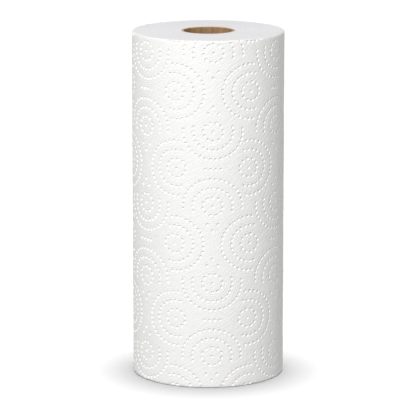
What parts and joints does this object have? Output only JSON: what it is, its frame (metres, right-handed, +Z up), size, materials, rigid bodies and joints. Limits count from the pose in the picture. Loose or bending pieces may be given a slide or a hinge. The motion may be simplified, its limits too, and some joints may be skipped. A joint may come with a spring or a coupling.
{
  "type": "paper towel roll",
  "caption": "Standing roll of white embossed, perforated paper towel wound on a cardboard tube, with the towel's free edge left as a step down the back.",
  "frame": {"origin": "centre of the roll's lower end, on the tube's axis", "axes": "+Z up along the tube's axis as the roll stands, -Y towards the front, away from the free edge"},
  "size_m": [0.1222, 0.1219, 0.2794],
  "materials": {
    "towel_paper": "soft matte creped tissue, embossed",
    "core_cardboard": "matte unbleached board"
  },
  "bodies": {
    "root": {"towel_roll": "towel_paper", "core_tube": "core_cardboard"}
  },
  "joints": []
}
